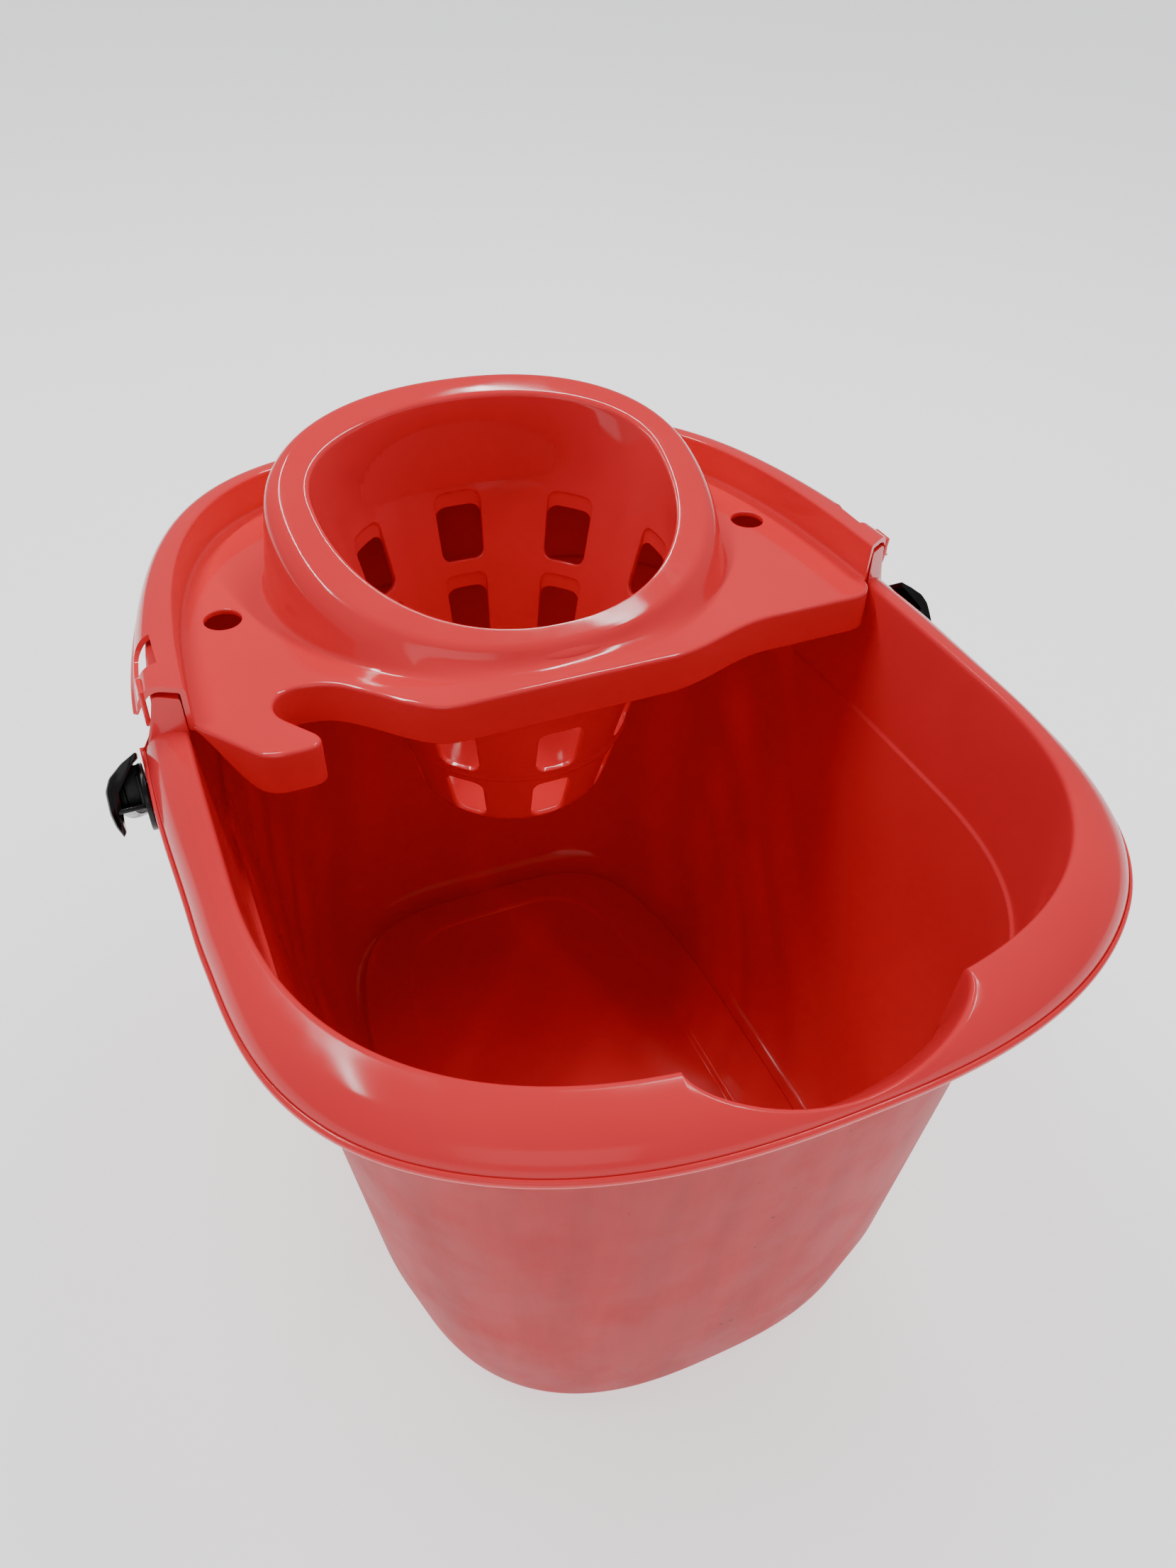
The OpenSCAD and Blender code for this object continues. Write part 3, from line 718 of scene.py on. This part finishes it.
def bail_at(x, s, h):
    """A point of the bail's plane: x across, s from the pivots to the grip, h across the strap."""
    c, d = math.cos(BAIL_REST), math.sin(BAIL_REST)
    return np.column_stack([x, PIVOT[1] + s * c + h * d, PIVOT[2] - s * d + h * c])


def bail_line(a):
    e = 2 / BAIL_N
    return np.column_stack([BAIL_HALF * np.abs(np.cos(a)) ** e * np.sign(np.cos(a)),
                            BAIL_LEN * np.abs(np.sin(a)) ** e])


def bail_strap():
    """The strap and grip: a shallow channel section that fills out into the grip."""
    a = np.linspace(0.02, math.pi - 0.02, 161)
    line = smoothed(bail_line(a), 3.0, 2)
    t = np.gradient(line, axis=0)
    normal = np.column_stack([t[:, 1], -t[:, 0]]) / np.linalg.norm(t, axis=1, keepdims=True)
    along = lengths(line)
    middle = along[-1] / 2
    grip = ease((78 - np.abs(along - middle)) / 14)
    # Strap section: a web with a rib along each edge, open towards the inside
    strap = np.array([(2.5, -7.2), (2.5, 7.2), (1.2, 8.5), (-2.5, 8.5), (-2.5, 6.4), (0.2, 5.6), (0.2, -5.6),
                      (-2.5, -6.4), (-2.5, -8.5), (1.2, -8.5)])
    strap = smoothed(np.vstack([strap, strap[:1]]), 0.8, 2)[:-1]
    q = np.unwrap(np.arctan2(strap[:, 1], strap[:, 0] + 0.01))
    grip_section = np.column_stack([7.2 * np.sign(np.cos(q)) * np.abs(np.cos(q)) ** 0.75,
                                    8.2 * np.sign(np.sin(q)) * np.abs(np.sin(q)) ** 0.75])
    waves = 1 - 0.05 * np.cos((along - middle) * 2 * math.pi / 24)
    rings = []
    for i, (p, m) in enumerate(zip(line, normal)):
        section = lerp(strap, grip_section * [waves[i], 1], grip[i])
        x = p[0] + m[0] * section[:, 0]
        s = p[1] + m[1] * section[:, 0]
        # The strap is narrower at its ends, where it runs into the hoods
        h = lerp(1.6 + 0.6 * section[:, 1], section[:, 1], ease((p[1] - 12) / 50))
        rings.append(bail_at(x, s, h))
    shell = Shell()
    shell.grid(rings)
    shell.cap(rings[0])
    shell.cap(rings[-1])
    return shell.build("bail_strap", sharp=45)


def turned(side, profile, steps=72):
    """A round piece about the bail's axis, from (radius, distance from the middle) corners."""
    t = np.linspace(0, 2 * math.pi, steps, endpoint=False)
    return [np.column_stack([np.full(steps, side * x), PIVOT[1] + r * np.cos(t), PIVOT[2] + r * np.sin(t)])
            for r, x in profile]


def bail_block(shell, side, x, s, h, corner=0.7):
    """A block with rounded edges, given by its ranges from the middle, along the strap and across it."""
    (x0, x1), (s0, s1), (h0, h1) = x, s, h
    s0, s1, h0, h1 = s0 + corner, s1 - corner, h0 + corner, h1 - corner
    corners = ((s1, h1, 0), (s0, h1, 90), (s0, h0, 180), (s1, h0, 270))
    outline = np.vstack([arc((cs, ch), corner, turn, turn + 90, 4) for cs, ch, turn in corners])
    middle = np.broadcast_to(outline.mean(axis=0), outline.shape)
    rings = []
    for at, inset in ((x0, 0.5), (x0 + 0.2, 0.1), (x0 + 0.5, 0), (x1 - 0.5, 0), (x1 - 0.2, 0.1), (x1, 0.5)):
        p = towards(outline, middle, inset)
        rings.append(bail_at(np.full(len(p), side * at), p[:, 0], p[:, 1]))
    shell.grid(rings)
    shell.cap(rings[0])
    shell.cap(rings[-1])


def bail_end(side):
    """Flange with its stud, and the hooded strap end that a boxed neck joins to it."""
    plate = BRACKET[1][0] + 0.4
    shell = Shell()
    rings = soften(turned(side, [(0.05, 141.6), (4.2, 141.6), (5.9, 143.5), (5.9, 144.8), (4.95, 144.9),
                                 (4.95, plate), (11.5, plate), (11.5, plate + 1.9), (6.0, plate + 1.9)]),
                   [0.5, 0.6, 0.3, 0.2, 0.1, 0.5, 0.7], 4)
    shell.grid(rings)
    shell.cap(rings[0])
    shell.cap(rings[-1])
    # Hood and tail are one bent wall: its section as (distance from the middle, h), outside then inside
    wall = np.array([(159.9, -11.2), (161.4, -7.5), (162.1, -2.5), (161.8, 4.6), (159.8, 8.6), (155.2, 12.4),
                     (149.6, 15.4), (149.6, 13.0), (154.4, 10.2), (158.0, 7.0), (159.5, 3.4), (159.7, -2.5),
                     (159.1, -7.5), (158.8, -10.2)])
    wall = smoothed(np.vstack([wall, wall[:1]]), 0.6, 2)[:-1]
    tail = ease((-3 - wall[:, 1]) / 8)
    hood = ease((158 - wall[:, 0]) / 7)
    low = -8.6 + 5.6 * tail - 1.0 * hood
    high = lerp(19.0, 5.0, tail) - 9.0 * hood
    rings = []
    for k, inset in ((0, 0.7), (0.02, 0.25), (0.05, 0), (0.3, 0), (0.6, 0), (0.95, 0), (0.98, 0.25),
                     (1, 0.7)):
        p = towards(wall, (wall + wall[::-1]) / 2, inset)
        rings.append(bail_at(side * p[:, 0], lerp(low, high, k), p[:, 1]))
    shell.grid(rings)
    shell.cap(rings[0])
    shell.cap(rings[-1])
    # Boxed neck, open towards the front: its floor, its back and a rib beside the flange
    bail_block(shell, side, (plate + 1.6, 160.2), (-7.6, 9.0), (-3.6, -1.9))
    bail_block(shell, side, (plate + 1.6, 160.2), (6.6, 9.0), (-3.4, 6.4))
    bail_block(shell, side, (plate + 1.0, 156.6), (6.2, 8.8), (-3.0, 11.2))
    bail_block(shell, side, (plate + 1.5, plate + 3.0), (-6.4, 8.6), (-3.4, 8.0))
    return shell.build("bail_end_" + ("left" if side < 0 else "right"), sharp=40)


# ---------------------------------------------------------------- materials

class Nodes:
    """Short way to add and join shader nodes."""

    def __init__(self, name):
        self.material = bpy.data.materials.new(name)
        self.material.use_nodes = True
        self.tree = self.material.node_tree
        self.shader = self.tree.nodes["Principled BSDF"]

    def add(self, kind, inputs=None, **settings):
        node = self.tree.nodes.new(kind)
        for key, value in settings.items():
            setattr(node, key, value)
        for key, value in (inputs or {}).items():
            if isinstance(value, bpy.types.NodeSocket):
                self.tree.links.new(value, node.inputs[key])
            else:
                node.inputs[key].default_value = value
        return node

    def noise(self, scale, detail=3.0, roughness=0.5, stretch=(1, 1, 1)):
        place = self.add("ShaderNodeTexCoord").outputs["Object"]
        mapped = self.add("ShaderNodeMapping", {"Vector": place, "Scale": stretch}).outputs["Vector"]
        return self.add("ShaderNodeTexNoise", {"Vector": mapped, "Scale": scale, "Detail": detail,
                                               "Roughness": roughness}).outputs["Fac"]

    def band(self, value, low, high, to_low=0.0, to_high=1.0):
        return self.add("ShaderNodeMapRange", {"Value": value, "From Min": low, "From Max": high,
                                               "To Min": to_low, "To Max": to_high}).outputs["Result"]

    def mix(self, factor, a, b):
        node = self.add("ShaderNodeMix", data_type="RGBA")
        for key, value in ((0, factor), (6, a), (7, b)):
            if isinstance(value, bpy.types.NodeSocket):
                self.tree.links.new(value, node.inputs[key])
            else:
                node.inputs[key].default_value = value
        return node.outputs[2]

    def math(self, operation, a, b):
        return self.add("ShaderNodeMath", {0: a, 1: b}, operation=operation).outputs[0]

    def link(self, output, socket):
        self.tree.links.new(output, self.shader.inputs[socket])

    def bump(self, *layers):
        """Layers are (height, strength, distance in metres)."""
        normal = None
        for height, strength, distance in layers:
            inputs = {"Height": height, "Strength": strength, "Distance": distance}
            if normal is not None:
                inputs["Normal"] = normal
            normal = self.add("ShaderNodeBump", inputs).outputs["Normal"]
        self.link(normal, "Normal")


def rgb(r, g, b):
    return (r, g, b, 1.0)


def red_plastic(name, deep, light, gloss):
    """Moulded red polypropylene, with soft shade changes, fine scratches and a very fine moulded grain."""
    m = Nodes(name)
    cloud = m.band(m.noise(9, 3), 0.35, 0.7)
    m.link(m.mix(cloud, deep, light), "Base Color")
    smear = m.band(m.noise(38, 4, 0.6, (1, 1, 0.35)), 0.42, 0.72, gloss, gloss + 0.12)
    m.link(smear, "Roughness")
    m.shader.inputs["IOR"].default_value = 1.49
    m.shader.inputs["Subsurface Weight"].default_value = 0.05
    m.shader.inputs["Subsurface Radius"].default_value = (0.006, 0.0015, 0.001)
    m.shader.inputs["Subsurface Scale"].default_value = 0.4
    m.shader.inputs["Specular IOR Level"].default_value = 0.4
    m.bump((m.noise(1400, 2), 0.06, 0.0001), (m.noise(14, 2), 0.12, 0.0012))
    return m.material


def bucket_plastic():
    """The same plastic with dust and scuffs on the outer wall, whose colour there is also painted much darker
    as shade.
    """
    m = Nodes("bucket_red")
    dust_and_shade = m.add("ShaderNodeAttribute", attribute_name="dust_and_shade_mask").outputs["Fac"]
    cloud = m.band(m.noise(9, 3), 0.35, 0.7)
    clean = m.mix(cloud, rgb(0.76, 0.030, 0.040), rgb(0.84, 0.038, 0.048))
    dust_amount = m.band(m.noise(16, 5, 0.62, (1, 1, 0.6)), 0.2, 0.8, 0.45, 0.95)
    streaks = m.band(m.noise(70, 4, 0.6, (1, 1, 0.12)), 0.35, 0.75, 0.8, 1.15)
    # Painted shade: the outer wall's tint is far darker than the clean plastic inside, standing in for the
    # shade it lies in; the dust itself adds only roughness, streaks and specks.
    shaded_dust_colour = m.mix(dust_amount, rgb(0.27, 0.008, 0.012), rgb(0.32, 0.024, 0.026))
    shaded_dust_film = m.math("MULTIPLY", m.math("MULTIPLY", dust_and_shade, streaks), 0.75)
    speck = m.band(m.noise(260, 2, 0.5), 0.74, 0.78)
    speck = m.math("MULTIPLY", speck, dust_and_shade)
    colour = m.mix(shaded_dust_film, clean, shaded_dust_colour)
    colour = m.mix(speck, colour, rgb(0.16, 0.02, 0.02))
    m.link(colour, "Base Color")
    smear = m.band(m.noise(38, 4, 0.6), 0.42, 0.72, 0.12, 0.24)
    rough = m.math("ADD", smear, m.math("MULTIPLY", dust_and_shade, 0.38))
    m.link(rough, "Roughness")
    m.shader.inputs["IOR"].default_value = 1.49
    m.shader.inputs["Specular IOR Level"].default_value = 0.25
    m.shader.inputs["Subsurface Weight"].default_value = 0.05
    m.shader.inputs["Subsurface Radius"].default_value = (0.006, 0.0015, 0.001)
    m.shader.inputs["Subsurface Scale"].default_value = 0.4
    m.bump((m.noise(1400, 2), 0.05, 0.0001), (m.noise(12, 2), 0.15, 0.0015))
    return m.material


def black_plastic():
    m = Nodes("bail_black")
    cloud = m.band(m.noise(60, 3), 0.35, 0.75)
    m.link(m.mix(cloud, rgb(0.003, 0.003, 0.0035), rgb(0.009, 0.009, 0.010)), "Base Color")
    m.link(m.band(m.noise(180, 3), 0.35, 0.75, 0.2, 0.36), "Roughness")
    m.shader.inputs["IOR"].default_value = 1.49
    m.shader.inputs["Specular IOR Level"].default_value = 0.3
    m.bump((m.noise(900, 2), 0.12, 0.0002),)
    return m.material


def floor_material():
    m = Nodes("studio_floor")
    shade = m.band(m.noise(3, 2), 0.3, 0.7)
    m.link(m.mix(shade, rgb(0.86, 0.86, 0.86), rgb(0.89, 0.89, 0.89)), "Base Color")
    m.shader.inputs["Roughness"].default_value = 0.9
    m.shader.inputs["Emission Color"].default_value = rgb(1.0, 1.0, 1.0)
    m.shader.inputs["Emission Strength"].default_value = 1.0
    return m.material


# ---------------------------------------------------------------- stage, light and camera

def area_light(name, at, aim, size, power, colour=(1, 1, 1)):
    data = bpy.data.lights.new(name, "AREA")
    data.shape = "RECTANGLE"
    data.size, data.size_y = size
    data.energy = power
    data.color = colour
    light = bpy.data.objects.new(name, data)
    light.location = at
    light.rotation_euler = (Vector(aim) - Vector(at)).to_track_quat("-Z", "Y").to_euler()
    bpy.context.scene.collection.objects.link(light)


def studio():
    floor_shell = Shell()
    span = np.linspace(-60000, 60000, 3)
    floor_shell.grid([np.array([(x, y, 0.0) for x in span]) for y in span], closed=False)
    floor = floor_shell.build("studio_floor")
    floor.data.materials.append(floor_material())
    world = bpy.data.worlds.new("studio")
    world.use_nodes = True
    world.node_tree.nodes["Background"].inputs["Color"].default_value = (0.95, 0.97, 1.0, 1)
    world.node_tree.nodes["Background"].inputs["Strength"].default_value = 0.36
    bpy.context.scene.world = world
    area_light("ceiling_strip", (-0.5, 0.5, 1.7), (0, 0, 0.1), (1.4, 0.05), 15)
    area_light("ceiling_strip_far", (0.7, 0.2, 1.7), (0, 0, 0.1), (1.4, 0.05), 13)
    area_light("front_fill", (-0.6, -1.4, 1.0), (0, 0, 0.12), (1.0, 0.8), 3)


def camera():
    """The photograph's viewpoint: a phone held above and to the left of the pouring lip."""
    data = bpy.data.cameras.new("camera")
    data.sensor_width = 36.0
    data.lens = 26.94
    obj = bpy.data.objects.new("camera", data)
    at, aim = Vector((-0.1426, -0.3033, 0.4735)), Vector((-0.0049, -0.0171, 0.1974))
    roll = math.radians(2.82)
    turn = (aim - at).to_track_quat("-Z", "Y").to_matrix().to_4x4()
    obj.matrix_world = Matrix.Translation(at) @ turn @ Matrix.Rotation(roll, 4, "Z")
    bpy.context.scene.collection.objects.link(obj)
    bpy.context.scene.camera = obj


def place(obj, body, material, slot, nodes):
    obj.data.materials.clear()
    obj.data.materials.append(material)
    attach(obj, body)
    if nodes:
        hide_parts(*nodes)


def main():
    camera()
    studio()
    bucket_red = bucket_plastic()
    wringer_red = red_plastic("wringer_red", rgb(0.82, 0.030, 0.040), rgb(0.90, 0.038, 0.048), 0.06)
    black = black_plastic()
    place(bucket_shell(), "bucket", bucket_red, "bucket_red", ["bucket_shell"])
    place(tray(), "wringer", wringer_red, "wringer_red", ["wringer_tray"])
    place(channel(), "wringer", wringer_red, "wringer_red", ["wringer_channel"])
    place(collar_and_basket(), "wringer", wringer_red, "wringer_red",
          ["wringer_collar", "wringer_basket", "wringer_basket_floor"])
    for side in (-1, 1):
        place(snap_tongue(side), "wringer", wringer_red, "wringer_red", [])
        name = "left" if side < 0 else "right"
        place(bail_end(side), "bail", black, "bail_black", ["bail_pivot_" + name])
        bracket = frame["nodes"]["bracket_" + name]
        bracket.data.materials.clear()
        bracket.data.materials.append(bucket_red)
    place(bail_strap(), "bail", black, "bail_black", ["bail_arm_left", "bail_arm_right", "bail_grip"])


main()
